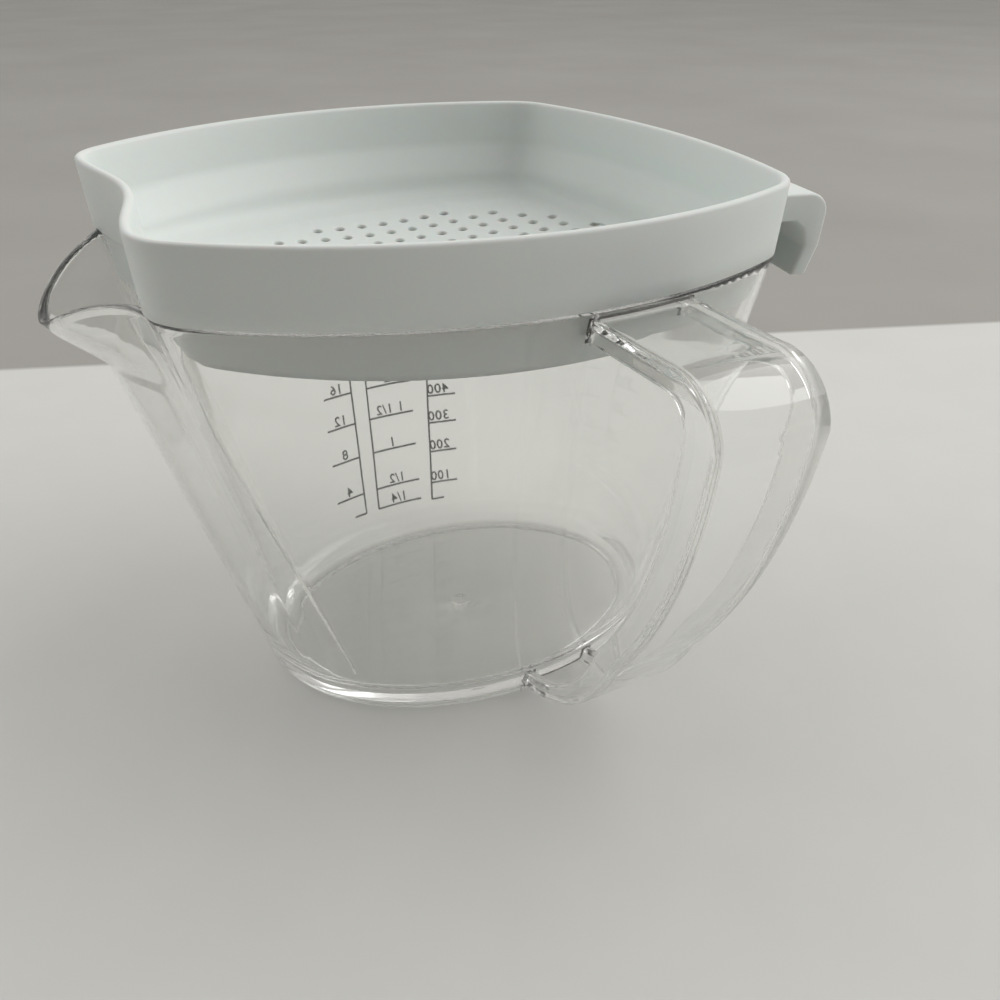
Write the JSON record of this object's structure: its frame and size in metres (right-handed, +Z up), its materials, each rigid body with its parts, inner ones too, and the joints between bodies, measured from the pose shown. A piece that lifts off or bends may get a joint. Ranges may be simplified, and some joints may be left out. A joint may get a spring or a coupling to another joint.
{
  "type": "gravy fat separator",
  "caption": "Clear oval gravy separator jug with a pouring lip, bonded side handle, inner fat baffle and a white lift-off strainer tray with a turned-down grip.",
  "frame": {"origin": "middle of the jug's oval base, on the surface it stands on", "axes": "+Z up; +X from the pouring lip towards the strainer's grip; the side handle is at -Y"},
  "size_m": [0.193, 0.1994, 0.144],
  "materials": {
    "clear_plastic": "glossy clear injection-moulded plastic",
    "white_plastic": "satin white injection-moulded plastic"
  },
  "bodies": {
    "jug": {"jug": "clear_plastic", "handle": "clear_plastic", "fat_baffle": "clear_plastic"},
    "strainer": {"strainer": "white_plastic"}
  },
  "joints": [
    {"name": "strainer_lift", "type": "slide", "parent": "jug", "child": "strainer", "axis": [0, 0, 1], "range_m": [0, 0.06]}
  ]
}
